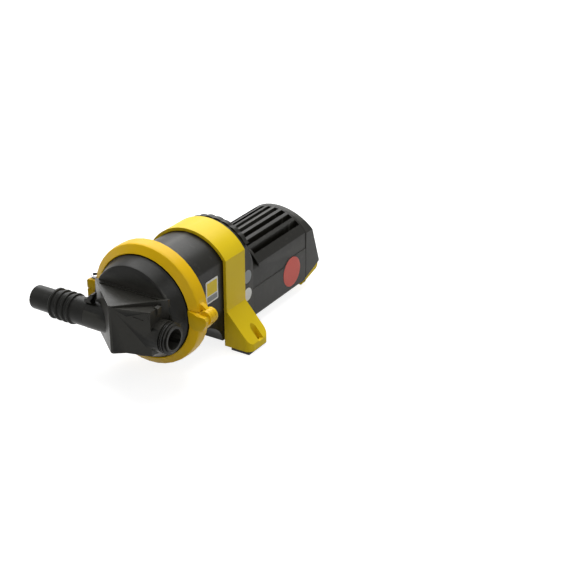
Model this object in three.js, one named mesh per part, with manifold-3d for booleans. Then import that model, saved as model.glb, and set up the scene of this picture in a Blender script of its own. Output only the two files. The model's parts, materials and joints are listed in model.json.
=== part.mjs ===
// Motor-driven diaphragm bilge pump, in millimetres: +Y runs from the pump head back to the motor, +Z is up,
// and the undersides of the two foot pads lie in the plane z = 0.
import * as THREE from "three";
import { mergeVertices } from "three/addons/utils/BufferGeometryUtils.js";
import Module from "manifold-3d";

const wasm = await Module();
wasm.setup();
const { Manifold, Mesh } = wasm;

// ---- driving dimensions ----
const PUMP_Z = 57.8; // height of the diaphragm axis
const MOTOR_Z = 34.7; // height of the motor axis
const PORT_Y = -22; // the two ports share one axis, along X
const PORT_Z = PUMP_Z - 6.5;
const SEAT_GAP = 0.3; // between parts that are fastened face to face round a curve
const RUN_GAP = 0.15; // radial clearance of a running fit
const FIT = 0.05; // radial clearance of a pressed fit
const SMOOTH = 40; // segments of a large turned surface
const FINE = 16; // segments of a port or a shaft
const SMALL = 10; // segments of a screw or a pin

// pump head
const HEAD_FLANGE_R = 49;
const HEAD_FLANGE = [3.5, 6.5];
const HEAD_RIM_R = 44.7;
const HEAD_FACE_Y = -14.3;
const HEAD_FACE_R = 39.9;
const HEAD_FACE_RISE = 1.7; // the front face sits a little above the axis
const CHEST_HALF = 36.45; // half the width of the wedge-shaped valve chest at the head's face
const CHEST_NOSE_Y = -42.8;
const CHEST_TOP_BACK = 79.4;
const CHEST_TOP_NOSE = 76.6;
const CHEST_BOTTOM = 34.6;
const CHAMBER_Z = [PORT_Z - 13.4, PORT_Z + 17]; // floor and roof of the two valve chambers
const CHAMBER_X = 25.6;
const BLOCK_X = 32.5; // the right side of the chest is filled out to a flat block that carries the port
const BLOCK_Y = -33;
const BLOCK_Z = [36.9, 75.3];
const PORT_MOUTH_X = 47;
const PORT_R = 13.2;
const PORT_NOSE_R = 11;
const PORT_BORE_R = 8.6;
const PORT_GROOVES = [40.6, 42.5, 44.4];
const VALVE_X = 17;

// hose tail
const TAIL_TIP_X = -93.8;
const TAIL_R = 11.7;
const TAIL_TIP_R = 10.2;
const TAIL_BARB_R = 13.3;
const TAIL_BORE_R = 7.6;
const TAIL_BARBS = [-71.3, -64.6, -58.4, -52.4];
const TAIL_JOINT_X = -36.2; // where the tail meets the chest's stub
const SPIGOT_R = 9.6;
const SPIGOT_X = -27; // inner end of the tail's spigot
const SEAL_X = -31.5;
const SEAL_GROOVE = 1.1;

// diaphragm and clamp ring
const BEAD = [HEAD_FLANGE[1], 9.0];
const BODY_FLANGE_BACK = 12.6;
const RING_OUTER_R = 53;
const RING_BACK_Y = 16.8;
const RING_NOSE_R = 52.5;
const RING_NOSE_Y = 4.5;
const CHANNEL_R = HEAD_FLANGE_R + 0.6;
const HINGE_X = 57.6;
const HINGE_Z = 61;
const KNUCKLE_R = 6;
const KNUCKLE_SPLIT = [4.2, 6.8, 11.4, 14];
const HINGE_PIN_R = 2.2;
const LUG_X = -54.6;
const LUG_END_X = -60;
const LUG_Y = 8.2;
const LUG_TOP = 66.5;
const LUG_BOTTOM = 46;
const SPLIT_Z = 58;
const SPLIT_GAP = 0.5;

// body, gear case and saddle
const BODY_R = 41.6;
const BODY_HALF = 34.6;
const BODY_WALL = 2.8;
const BODY_BACK_Y = 92;
const BASE_Z = 8;
const CASE_BACK_Y = 108.5;
const CASE_CHAMFER = 5.5;
const SCALLOP_R = 42.8;
const SCALLOP_PITCH = 12; // degrees
const SADDLE = [63.2, 91.7];
const SADDLE_T = 2.8;
const FOOT_TIP_X = 61.3;
const FOOT_CREASE_Z = 35.2;
const FOOT_TIP_Z = 8.6;
const PAD_H = 2.2;
const SCREW_SLOT = { x: 55, y: 79.6, half: 1.8, r: 2.6 };

// worm drive
const WHEEL_Y = 72;
const WHEEL_TEETH = 30;
const WHEEL_PITCH_R = 18.1;
const WHEEL_HALF = 3;
const WORM_R = PUMP_Z - MOTOR_Z - WHEEL_PITCH_R;
const TOOTH_PITCH = (2 * Math.PI * WHEEL_PITCH_R) / WHEEL_TEETH;
const ADDENDUM = 1.05;
const DEDENDUM = 1.4;
const WORM = [63, 81];
const CRANK_THROW = 3;
const ROD_X = [5.5, 10.5];
const SHAFT_R = 3;

// motor and its covers
const COVER_R = 40;
const COVER_HALF = 34;
const COVER = [109, 197];
const FIN_FRONT_Y = 119;
const FIN_SLOTS = [121.4, 195.2];
const FIN_PITCH = 7.3;
const FIN_COUNT = 9;
const FIN_T = 2;
const SLOT_FLOOR_R = 33;
const COVER_INNER_R = 30.5;
const CAN_R = 23.4;
const CAN = [124, 178];
const CAP_Y = COVER[1] + SEAT_GAP;
const CAP_BACK_LOW = [221, 19.5]; // (y, z) of the lower rear edge
const CAP_LEAN = 12.4 / 36.2; // how far the rear face leans forward for each mm of height
const CAP_BOTTOM_Z = 11.3;
const CAP_WALL = 2.6;

// ---- materials ----
const paint = (color, roughness, metalness = 0) => new THREE.MeshStandardMaterial({ color, roughness, metalness });
const BLACK = paint(0x1d1d1c, 0.45);
const CASE_BLACK = paint(0x2a2a29, 0.55);
const GREY = paint(0x3b3b39, 0.5);
const YELLOW = paint(0xe9bf12, 0.42);
const RUBBER = paint(0x111111, 0.8);
const STEEL = paint(0xb8bbbe, 0.28, 1);
const BRASS = paint(0xc9a24a, 0.35, 1);
const COPPER = paint(0xb06a3a, 0.35, 1);
const NYLON = paint(0xdeddd2, 0.5);
const MAGNET = paint(0x3a3a3f, 0.5, 0.4);
const BOARD = paint(0x1e6a3a, 0.5);

// ---- solids ----
const WELD = 1e-4;

// A closed geometry as a manifold solid that faces out.
function solid(geometry) {
  const bare = new THREE.BufferGeometry();
  const loose = geometry.index ? geometry.toNonIndexed() : geometry;
  bare.setAttribute("position", loose.getAttribute("position"));
  const merged = mergeVertices(bare, WELD);
  const corners = merged.index.array;
  const faces = [];
  for (let i = 0; i < corners.length; i += 3) {
    const [a, b, c] = corners.slice(i, i + 3);
    if (a !== b && b !== c && c !== a) faces.push(a, b, c);
  }
  const build = (tris) =>
    new Manifold(
      new Mesh({ numProp: 3, vertProperties: merged.attributes.position.array, triVerts: new Uint32Array(tris) }),
    );
  const made = build(faces);
  return made.volume() < 0 ? build(faces.reverse()) : made;
}

// A profile of [radius, height] points turned about +Z; a ring's profile ends where it starts.
function turned(points, segments = FINE) {
  const lathe = new THREE.LatheGeometry(
    points.map(([r, h]) => new THREE.Vector2(r, h)),
    segments,
  );
  return lathe.rotateX(Math.PI / 2);
}
const AXES = {
  x: new THREE.Matrix4().makeBasis(
    new THREE.Vector3(0, 1, 0),
    new THREE.Vector3(0, 0, 1),
    new THREE.Vector3(1, 0, 0),
  ),
  y: new THREE.Matrix4().makeBasis(
    new THREE.Vector3(1, 0, 0),
    new THREE.Vector3(0, 0, -1),
    new THREE.Vector3(0, 1, 0),
  ),
  z: new THREE.Matrix4(),
};

// A turned profile whose heights run along an axis, placed at [x, y, z].
function round(axis, points, [x, y, z], segments) {
  return solid(turned(points, segments).applyMatrix4(AXES[axis]).translate(x, y, z));
}
function rod(axis, r, from, to, at, segments = FINE) {
  return round(axis, [[0, from], [r, from], [r, to], [0, to]], at, segments);
}
function tube(axis, inner, outer, from, to, at, segments = FINE) {
  return round(axis, [[inner, from], [outer, from], [outer, to], [inner, to], [inner, from]], at, segments);
}

// A flat outline pulled along an axis: along y it is drawn in (x, z), along x in (y, z), along z in (x, y).
function slab(axis, outline, from, to, steps = 1) {
  const shape = outline instanceof THREE.Shape ? outline : new THREE.Shape(outline.map(([a, b]) => new THREE.Vector2(a, b)));
  const pulled = new THREE.ExtrudeGeometry(shape, {
    depth: to - from,
    bevelEnabled: false,
    curveSegments: 12,
    steps,
  });
  if (axis === "y") return solid(pulled.rotateX(Math.PI / 2).translate(0, to, 0));
  if (axis === "x") return solid(pulled.applyMatrix4(AXES.x).translate(from, 0, 0));
  return solid(pulled.translate(0, 0, from));
}
const box = (x, y, z) => slab("z", [[x[0], y[0]], [x[1], y[0]], [x[1], y[1]], [x[0], y[1]]], z[0], z[1]);
const fuse = (parts) => parts.reduce((sum, part) => sum.add(part));
const cut = (body, parts) => parts.reduce((rest, part) => rest.subtract(part), body);

// Points along a circle about (cx, cz), in degrees from +x.
function arc(cx, cz, r, from, to, count = 32) {
  return Array.from({ length: count + 1 }, (_, i) => {
    const angle = THREE.MathUtils.degToRad(from + ((to - from) * i) / count);
    return [cx + r * Math.cos(angle), cz + r * Math.sin(angle)];
  });
}

// An arch: a circle of radius r about (0, cz) over straight sides at +-half that run down to a floor.
function arch(r, cz, half, floor, corner = 0) {
  const side = THREE.MathUtils.radToDeg(Math.acos(Math.min(1, half / r)));
  const feet = corner
    ? [...arc(-half + corner, floor + corner, corner, 180, 270, 6), ...arc(half - corner, floor + corner, corner, 270, 360, 6)]
    : [[-half, floor], [half, floor]];
  return [...arc(0, cz, r, side, 180 - side, 26), ...feet];
}

const group = new THREE.Group();
group.name = "bilge_pump";
function place(name, material, body) {
  const { numProp, vertProperties, triVerts } = body.getMesh();
  const geometry = new THREE.BufferGeometry();
  const points = new Float32Array((vertProperties.length / numProp) * 3);
  for (let i = 0; i * 3 < points.length; i++) points.set(vertProperties.subarray(i * numProp, i * numProp + 3), i * 3);
  geometry.setAttribute("position", new THREE.BufferAttribute(points, 3));
  geometry.setIndex(new THREE.BufferAttribute(triVerts, 1));
  const flat = geometry.toNonIndexed();
  flat.computeVertexNormals();
  const mesh = new THREE.Mesh(flat, material);
  mesh.name = name;
  group.add(mesh);
}

// ---- pump head: flange, drum, wedge-shaped valve chest, threaded port on the right, socket on the left ----
const axisP = [0, 0, PUMP_Z];
const portAxis = [0, PORT_Y, PORT_Z];
const PLATE = [-8, -5.2]; // valve plate, front and rear face
const PLATE_R = 38;

function pumpHead() {
  const drum = turned(
    [
      [0, HEAD_FACE_Y],
      [HEAD_FACE_R - 2.4, HEAD_FACE_Y],
      [HEAD_FACE_R - 0.7, HEAD_FACE_Y + 0.7],
      [HEAD_FACE_R, HEAD_FACE_Y + 2.3],
      [HEAD_RIM_R - 1.4, -2.2],
      [HEAD_RIM_R - 0.5, -1],
      [HEAD_RIM_R, 0],
      [HEAD_RIM_R, HEAD_FLANGE[0]],
      [HEAD_FLANGE_R, HEAD_FLANGE[0]],
      [HEAD_FLANGE_R, HEAD_FLANGE[1]],
      [0, HEAD_FLANGE[1]],
    ],
    SMOOTH,
  ).applyMatrix4(AXES.y);
  const points = drum.getAttribute("position");
  for (let i = 0; i < points.count; i++) {
    const forward = Math.min(1, Math.max(0, points.getY(i) / HEAD_FACE_Y));
    points.setZ(i, points.getZ(i) + HEAD_FACE_RISE * forward);
  }
  const body = solid(drum.translate(0, 0, PUMP_Z));

  // The chest's top slopes down to its nose and is dished inside a raised border.
  const side = [
    [0, CHEST_BOTTOM],
    [0, CHEST_TOP_BACK],
    [HEAD_FACE_Y, CHEST_TOP_BACK],
    [CHEST_NOSE_Y, CHEST_TOP_NOSE],
    [CHEST_NOSE_Y, CHEST_BOTTOM],
  ];
  const plan = (inset) => [
    [-CHEST_HALF + inset * 2.6, HEAD_FACE_Y + (inset ? -inset : 2)],
    [-CHEST_HALF + inset * 2.6, HEAD_FACE_Y - inset],
    [-1.2 + inset * 0.3, CHEST_NOSE_Y + 0.7 + inset * 1.5],
    [1.2 - inset * 0.3, CHEST_NOSE_Y + 0.7 + inset * 1.5],
    [CHEST_HALF - inset * 2.6, HEAD_FACE_Y - inset],
    [CHEST_HALF - inset * 2.6, HEAD_FACE_Y + (inset ? -inset : 2)],
  ];
  const chest = slab("z", plan(0), CHEST_BOTTOM, 90).intersect(slab("x", side, -CHEST_HALF, CHEST_HALF));
  const dish = slab("z", plan(2.2), 60, 90).subtract(
    slab(
      "x",
      [
        [HEAD_FACE_Y + 1, 50],
        [HEAD_FACE_Y + 1, CHEST_TOP_BACK - 1.1],
        [CHEST_NOSE_Y, CHEST_TOP_NOSE - 1.1],
        [CHEST_NOSE_Y, 50],
      ],
      -CHEST_HALF,
      CHEST_HALF,
    ),
  );
  const block = slab("z", [[0, CHEST_NOSE_Y + 0.4], [BLOCK_X, BLOCK_Y], [BLOCK_X, -10], [0, -10]], ...BLOCK_Z);
  const ridge = 0.7; // half the width of the ridges between the port's grooves
  const port = round(
    "x",
    [
      [0, BLOCK_X - 8],
      [PORT_R, BLOCK_X - 8],
      ...PORT_GROOVES.flatMap((x) => [
        [PORT_R, x - ridge],
        [PORT_R - 1.3, x - ridge + 0.15],
        [PORT_R - 1.3, x + ridge - 0.15],
        [PORT_R, x + ridge],
      ]),
      [PORT_R, PORT_GROOVES[2] + 0.9],
      [PORT_NOSE_R, PORT_GROOVES[2] + 1.2],
      [PORT_NOSE_R, PORT_MOUTH_X - 0.4],
      [PORT_NOSE_R - 0.5, PORT_MOUTH_X],
      [0, PORT_MOUTH_X],
    ],
    portAxis,
    24,
  );
  const stub = rod("x", TAIL_R + 0.2, TAIL_JOINT_X + 0.15, -5, portAxis, 22);
  const lug = slab("y", [[24, 70], [34, 70], [34, 75.6], [31, 76.4], [24, 72]], PORT_Y - 3, PORT_Y + 2);

  // A raised arrow outline on the block's front face, pointing away from the port.
  const arrow = [[12.6, 69.4], [30.4, 74.9], [33.4, 75.1], [32.4, 71.6], [33.4, 69.2], [29.4, 65.2]];
  const slope = Math.atan2(BLOCK_Y - CHEST_NOSE_Y, BLOCK_X);
  const raised = (outline, proud) =>
    solid(
      new THREE.ExtrudeGeometry(new THREE.Shape(outline.map(([a, b]) => new THREE.Vector2(a, b))), {
        depth: proud + 1,
        bevelEnabled: false,
      })
        .rotateX(Math.PI / 2)
        .translate(0, 1, 0)
        .rotateZ(slope)
        .translate(0, CHEST_NOSE_Y + 0.4, 0),
    );
  const shrink = (k) => arrow.map(([a, b]) => [27 + (a - 27) * k, 71 + (b - 71) * k]);
  const arrowRim = raised(shrink(0.92), 0.7).subtract(raised(shrink(0.55), 2));

  // Inside: one chamber behind each port, and the pumping chamber behind the valve plate.
  const chamber = (s) => {
    const outline = [
      [1.5, PLATE[0] + 0.01],
      [CHAMBER_X, PLATE[0] + 0.01],
      [CHAMBER_X, -18.6],
      [1.5, -38],
    ].map(([x, y]) => [s * x, y]);
    return slab("z", s > 0 ? outline : outline.reverse(), ...CHAMBER_Z);
  };
  const hollow = [
    round("y", [[0, PLATE[0]], [PLATE_R + SEAT_GAP, PLATE[0]], [PLATE_R + SEAT_GAP, 8], [0, 8]], axisP, SMOOTH),
    chamber(1),
    chamber(-1),
    rod("x", PORT_BORE_R, 10, PORT_MOUTH_X + 1, portAxis, 24),
    rod("x", SPIGOT_R + 0.1, -60, SPIGOT_X + SEAT_GAP, portAxis, 22),
    rod("x", TAIL_R + SEAT_GAP, -60, TAIL_JOINT_X, portAxis, 22),
    rod("x", TAIL_BORE_R, SPIGOT_X - 1, -6, portAxis, 22),
    dish,
  ];
  return cut(fuse([body, chest, block, port, stub, lug, arrowRim]), hollow);
}
place("pump_head", BLACK, pumpHead());

// ---- hose tail, its seal and catch ----
place(
  "hose_tail",
  BLACK,
  round(
    "x",
    [
      [TAIL_BORE_R, TAIL_TIP_X + 0.6],
      [TAIL_BORE_R + 0.8, TAIL_TIP_X],
      [TAIL_TIP_R - 0.4, TAIL_TIP_X],
      [TAIL_TIP_R, TAIL_TIP_X + 0.8],
      [TAIL_TIP_R + 0.1, TAIL_BARBS[0] - 2.6],
      ...TAIL_BARBS.flatMap((x, i) => [
        [i ? TAIL_R : TAIL_TIP_R + 0.9, x - 2],
        [TAIL_BARB_R, x],
        [TAIL_BARB_R - 0.3, x + 1.4],
        [TAIL_R, x + 2.1],
      ]),
      [TAIL_R, TAIL_JOINT_X - 0.15],
      [SPIGOT_R, TAIL_JOINT_X - 0.15],
      [SPIGOT_R, SEAL_X - SEAL_GROOVE],
      [SPIGOT_R - 1, SEAL_X - SEAL_GROOVE],
      [SPIGOT_R - 1, SEAL_X + SEAL_GROOVE],
      [SPIGOT_R, SEAL_X + SEAL_GROOVE],
      [SPIGOT_R, SPIGOT_X],
      [TAIL_BORE_R, SPIGOT_X],
      [TAIL_BORE_R, TAIL_TIP_X + 0.6],
    ],
    portAxis,
    22,
  ),
);
const oRing = (axis, inner, outer, at, centre, segments) => {
  const section = arc((inner + outer) / 2, at, (outer - inner) / 2, 0, 360, 6);
  section[section.length - 1] = section[0];
  return round(axis, section, centre, segments);
};
place("hose_tail_seal", RUBBER, oRing("x", SPIGOT_R - 0.9, SPIGOT_R + 0.05, SEAL_X, portAxis, 22));
// The catch lies along the top of the tail, with its finger end turned up.
place(
  "hose_tail_catch",
  BLACK,
  slab(
    "y",
    [
      [-38.5, PORT_Z + TAIL_R + 0.3],
      [-38.5, PORT_Z + 15],
      [-36, PORT_Z + 15.6],
      [-31.5, PORT_Z + 20.4],
      [-29.6, PORT_Z + 20.4],
      [-29.6, PORT_Z + 17.6],
      [-32.4, PORT_Z + 14.4],
      [-31, PORT_Z + TAIL_R + 0.3],
    ],
    PORT_Y - 5,
    PORT_Y + 1,
  ),
);
place("port_seal", RUBBER, oRing("x", PORT_R - 1.25, PORT_R - 0.25, PORT_GROOVES[1], portAxis, 24));

// ---- valve plate and the two flap valves ----
const FLAP_R = 8;
const FLAP_T = 1.5;
const FLAP_PIVOT_Z = PORT_Z + FLAP_R + 1.6;
const PIVOT_R = 0.75;
const flapPivotY = { inlet: PLATE[1] + 0.1 + PIVOT_R, outlet: PLATE[0] - 0.1 - PIVOT_R };
const VALVES = [
  ["inlet", -VALVE_X, 1],
  ["outlet", VALVE_X, -1],
];
{
  const lugs = VALVES.flatMap(([kind, x, s]) => {
    const y = flapPivotY[kind];
    const face = s > 0 ? PLATE[1] : PLATE[0];
    return [-1, 1].map((e) => {
      const near = x + e * 5.2;
      const span = [Math.min(near, near + e * 2), Math.max(near, near + e * 2)];
      const deep = [Math.min(face, y + s * 1.9), Math.max(face, y + s * 1.9)];
      return box(span, deep, [FLAP_PIVOT_Z - 1.9, FLAP_PIVOT_Z + 1.9]).subtract(
        rod("x", PIVOT_R + RUN_GAP, x - 9, x + 9, [0, y, FLAP_PIVOT_Z], SMALL),
      );
    });
  });
  const disc = rod("y", PLATE_R, PLATE[0], PLATE[1], axisP, SMOOTH);
  const holes = VALVES.map(([, x]) => rod("y", FLAP_R - 1.6, PLATE[0] - 1, PLATE[1] + 1, [x, 0, PORT_Z]));
  place("valve_plate", NYLON, fuse([cut(disc, holes), ...lugs]));
}
for (const [kind, x, s] of VALVES) {
  const y = flapPivotY[kind];
  const near = y - s * PIVOT_R;
  const far = near + s * FLAP_T;
  const span = [Math.min(near, far), Math.max(near, far)];
  const flap = rod("y", FLAP_R, span[0], span[1], [x, 0, PORT_Z]);
  const neck = box([x - 4, x + 4], span, [PORT_Z + 5, FLAP_PIVOT_Z]);
  const pivot = rod("x", PIVOT_R, x - 7, x + 7, [0, y, FLAP_PIVOT_Z], SMALL);
  place(kind + "_valve", RUBBER, fuse([flap, neck, pivot]));
}

// ---- diaphragm, its plates, screw and the connecting rod ----
const HUB_R = 3;
const CENTRE = [5.2, 7.2]; // the diaphragm's flat centre, held between the two plates
place(
  "diaphragm",
  RUBBER,
  round(
    "y",
    [
      [HUB_R + 0.2, CENTRE[0]],
      [20, CENTRE[0]],
      [24, 6.2],
      [29, 9.6],
      [33.5, 9.4],
      [37, 7.1],
      [40, BEAD[0] + 0.05],
      [HEAD_FLANGE_R - 0.4, BEAD[0] + 0.05],
      [HEAD_FLANGE_R - 0.4, BEAD[1] - 0.05],
      [40.4, BEAD[1] - 0.05],
      [37.6, BEAD[1]],
      [34.5, 11.3],
      [28.2, 11.5],
      [23.2, 8.3],
      [20, CENTRE[1]],
      [HUB_R + 0.2, CENTRE[1]],
      [HUB_R + 0.2, CENTRE[0]],
    ],
    axisP,
    30,
  ),
);
place("diaphragm_front_plate", NYLON, tube("y", HUB_R + 0.2, 18, CENTRE[0] - 2, CENTRE[0] - 0.05, axisP, 24));
place(
  "diaphragm_rear_plate",
  NYLON,
  round(
    "y",
    [
      [HUB_R + 0.2, CENTRE[1] + 0.05],
      [18, CENTRE[1] + 0.05],
      [18, CENTRE[1] + 2.2],
      [8, CENTRE[1] + 3.4],
      [8, CENTRE[1] + 7],
      [HUB_R + 0.2, CENTRE[1] + 7],
      [HUB_R + 0.2, CENTRE[1] + 0.05],
    ],
    axisP,
    24,
  ),
);
const ROD_FOOT_Y = CENTRE[1] + 7;
place(
  "diaphragm_screw",
  STEEL,
  cut(
    round(
      "y",
      [[0, 1.2], [5, 1.2], [5.6, 1.8], [5.6, CENTRE[0] - 2], [HUB_R, CENTRE[0] - 2], [HUB_R, ROD_FOOT_Y - 0.3], [0, ROD_FOOT_Y - 0.3]],
      axisP,
      SMALL,
    ),
    [box([-4, 4], [0, 2], [PUMP_Z - 0.5, PUMP_Z + 0.5])],
  ),
);
const CRANK_Y = WHEEL_Y - CRANK_THROW; // the rest position is the forward dead centre
const ECCENTRIC_R = 7.2;
const ROD_EYE_R = 9.6;
{
  const eye = rod("x", 12.6, ROD_X[0], ROD_X[1], [0, CRANK_Y, PUMP_Z]);
  const arm = box(ROD_X, [22, CRANK_Y - 8], [PUMP_Z - 4.5, PUMP_Z + 4.5]);
  const jog = slab(
    "z",
    [[-4, 19], [4, 19], [ROD_X[1], 26], [ROD_X[1], 33], [ROD_X[0], 33], [-4, 23.5]],
    PUMP_Z - 4.5,
    PUMP_Z + 4.5,
  );
  const foot = rod("y", 6, ROD_FOOT_Y + 0.1, 20, axisP);
  const bore = rod("x", ROD_EYE_R, ROD_X[0] - 1, ROD_X[1] + 1, [0, CRANK_Y, PUMP_Z]);
  const web = [-1, 1].map((s) =>
    box([ROD_X[0] - 1, ROD_X[0] + 1.4], [36, CRANK_Y - 15], [PUMP_Z + s * 2.2 - 1, PUMP_Z + s * 2.2 + 1]),
  );
  place("connecting_rod", GREY, cut(fuse([eye, arm, jog, foot]), [bore, ...web]));
}
const crankAxis = [0, CRANK_Y, PUMP_Z];
place(
  "rod_bearing",
  STEEL,
  tube("x", ECCENTRIC_R + RUN_GAP, ROD_EYE_R - 0.1, ROD_X[0] + 0.2, ROD_X[1] - 0.2, crankAxis),
);

// ---- worm wheel, shaft, eccentric and bearings ----
const wheelAxis = [0, WHEEL_Y, PUMP_Z];
const LEAD = TOOTH_PITCH / (2 * Math.PI * WORM_R); // tangent of the worm's helix angle
{
  const tip = WHEEL_PITCH_R + ADDENDUM - 0.25;
  const root = WHEEL_PITCH_R - DEDENDUM;
  const step = 360 / WHEEL_TEETH;
  const phase = 270 + step / 2; // a gap faces the worm thread below
  const outline = Array.from({ length: WHEEL_TEETH }, (_, i) => {
    const mid = phase + i * step;
    return [
      [root, mid - step * 0.36],
      [tip, mid - step * 0.13],
      [tip, mid + step * 0.13],
      [root, mid + step * 0.36],
    ].map(([r, a]) => arc(0, 0, r, a, a, 1)[0]);
  }).flat();
  const shape = new THREE.Shape(outline.map(([a, b]) => new THREE.Vector2(a, b)));
  const toothed = new THREE.ExtrudeGeometry(shape, { depth: 2 * WHEEL_HALF, bevelEnabled: false });
  toothed.applyMatrix4(AXES.x).translate(-WHEEL_HALF, 0, 0);
  const points = toothed.getAttribute("position");
  for (let i = 0; i < points.count; i++) {
    const turn = (-points.getX(i) * LEAD) / WHEEL_PITCH_R;
    const y = points.getY(i);
    const z = points.getZ(i);
    points.setY(i, y * Math.cos(turn) - z * Math.sin(turn));
    points.setZ(i, y * Math.sin(turn) + z * Math.cos(turn));
  }
  const blank = solid(toothed.translate(0, WHEEL_Y, PUMP_Z));
  place("worm_wheel", NYLON, cut(blank, [rod("x", SHAFT_R + 0.05, -5, 5, wheelAxis, 16)]));
}
place("wheel_shaft", STEEL, rod("x", SHAFT_R, -20, 20, wheelAxis, 16));
place(
  "eccentric",
  STEEL,
  cut(fuse([rod("x", ECCENTRIC_R, ROD_X[0], ROD_X[1], crankAxis), rod("x", ECCENTRIC_R - CRANK_THROW, WHEEL_HALF + 0.2, ROD_X[1] + 1.2, wheelAxis)]), [
    rod("x", SHAFT_R + 0.05, 0, 14, wheelAxis, 16),
  ]),
);
const BEARING_R = 7;
const WHEEL_BEARING = [13.5, 18.5];
for (const [name, s] of [["wheel_bearing_left", -1], ["wheel_bearing_right", 1]]) {
  const [a, b] = WHEEL_BEARING.map((x) => s * x).sort((p, q) => p - q);
  place(name, STEEL, tube("x", SHAFT_R + 0.08, BEARING_R, a, b, wheelAxis));
}

// ---- body housing: round barrel with a front flange, on a pedestal ----
const PEDESTAL = [
  [24, 34],
  [34, 31.4],
  [44, 27.4],
  [51, 23.6],
  [56, 19.4],
  [59.4, 14.2],
  [61, BASE_Z],
  [BODY_BACK_Y, BASE_Z],
  [BODY_BACK_Y, 40],
  [24, 40],
];
const motorAxis = [0, 0, MOTOR_Z];
const WORM_FRONT_BEARING = [52.5, 57];
const BARREL_FLOOR = 31;
{
  const barrel = rod("y", BODY_R, BEAD[1] + 2, BODY_BACK_Y, axisP, SMOOTH);
  const sides = box([-BODY_HALF, BODY_HALF], [0, BODY_BACK_Y + 1], [BARREL_FLOOR, 110]);
  const outer = fuse([
    rod("y", BODY_R, BEAD[1], BODY_FLANGE_BACK + BODY_WALL, axisP, SMOOTH),
    barrel.intersect(sides),
    slab("x", PEDESTAL, -BODY_HALF, BODY_HALF),
    rod("y", HEAD_FLANGE_R, BEAD[1], BODY_FLANGE_BACK, axisP, SMOOTH),
  ]);
  const inner = fuse([
    rod("y", BODY_R - BODY_WALL, BODY_FLANGE_BACK - 1, BODY_BACK_Y + 1, axisP, SMOOTH).intersect(
      box([-BODY_HALF + BODY_WALL, BODY_HALF - BODY_WALL], [0, 120], [BARREL_FLOOR + BODY_WALL, 110]),
    ),
    rod("y", 37.8, BEAD[1] - 1, BODY_FLANGE_BACK - 0.4, axisP, SMOOTH),
    slab(
      "x",
      [[46, 40], [46, 30], [54, 24.4], [59.5, 20], [64, BASE_Z + BODY_WALL], [93, BASE_Z + BODY_WALL], [93, 40]],
      -BODY_HALF + BODY_WALL,
      BODY_HALF - BODY_WALL,
    ),
  ]);
  const bosses = [-1, 1].map((s) => {
    const [a, b] = [s * WHEEL_BEARING[0], s * (BODY_HALF - BODY_WALL + 1)].sort((p, q) => p - q);
    return tube("x", BEARING_R + FIT, BEARING_R + 2.6, a, b, wheelAxis).add(
      rod("x", BEARING_R + 1, ...[s * WHEEL_BEARING[1] + s * 0.1 + (s > 0 ? 0 : -14), s * WHEEL_BEARING[1] + s * 0.1 + (s > 0 ? 14 : 0)], wheelAxis),
    );
  });
  const seat = box([-11, 11], WORM_FRONT_BEARING, [18, 44]);
  const seatBore = [rod("y", 6 + FIT, 50, 60, motorAxis)];
  const shaftEnds = [-1, 1].map((s) => rod("x", SHAFT_R + 0.4, ...(s > 0 ? [12, 21] : [-21, -12]), wheelAxis, 16));
  place("body_housing", CASE_BLACK, cut(fuse([cut(outer, [inner]), ...bosses, seat]), [...seatBore, ...shaftEnds]));
}
place("worm_front_bearing", STEEL, tube("y", 2.55, 6, WORM_FRONT_BEARING[0], WORM_FRONT_BEARING[1], motorAxis));

// ---- gear case cover, with a scalloped rim over its arch ----
const FRONT_BEARING = [BODY_BACK_Y + 1, BODY_BACK_Y + 6];
{
  const [front, back] = [BODY_BACK_Y + SEAT_GAP, CASE_BACK_Y];
  const dome = round(
    "y",
    [[0, front], [BODY_R, front], [BODY_R, back - 9.5], [BODY_R - CASE_CHAMFER, back - 3], [BODY_R - CASE_CHAMFER - 1.5, back], [0, back]],
    axisP,
    SMOOTH,
  );
  const lower = box([-BODY_HALF, BODY_HALF], [front, back], [BASE_Z, PUMP_Z + 4]);
  const sides = box([-BODY_HALF, BODY_HALF], [0, 200], [BASE_Z, 120]);
  const scallop = Array.from({ length: 121 }, (_, i) => {
    const angle = 1.5 * i;
    const wave = Math.cos(THREE.MathUtils.degToRad(((angle - 94.4) * 360) / SCALLOP_PITCH));
    const r = BODY_R + 0.4 + (SCALLOP_R - BODY_R - 0.4) * Math.sqrt(Math.max(0, 0.5 + wave / 2));
    return arc(0, PUMP_Z, r, angle, angle, 1)[0];
  }).filter(([x]) => Math.abs(x) < BODY_HALF + 0.3);
  const rim = slab("y", scallop, 98.2, 103).intersect(sides);
  const pocket = fuse([
    rod("y", BODY_R - 2 * BODY_WALL, front + 4, back + 1, axisP, SMOOTH),
    box([-BODY_HALF + BODY_WALL, BODY_HALF - BODY_WALL], [front + 4, back + 1], [BASE_Z + BODY_WALL, PUMP_Z]),
  ]).intersect(box([-BODY_HALF + BODY_WALL, BODY_HALF - BODY_WALL], [0, 200], [BASE_Z + BODY_WALL, 120]));
  const boss = rod("y", 10.5, front, front + 8, motorAxis);
  const shell = fuse([cut(fuse([dome, lower]).intersect(sides), [pocket]), rim, boss]);
  place(
    "gear_cover",
    CASE_BLACK,
    cut(shell, [rod("y", 3.1, front - 1, front + 10, motorAxis), rod("y", 8 + FIT, front - 1, FRONT_BEARING[1] + 0.1, motorAxis)]),
  );
}
place("front_bearing", STEEL, tube("y", 2.55, 8, FRONT_BEARING[0], FRONT_BEARING[1], motorAxis));

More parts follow.
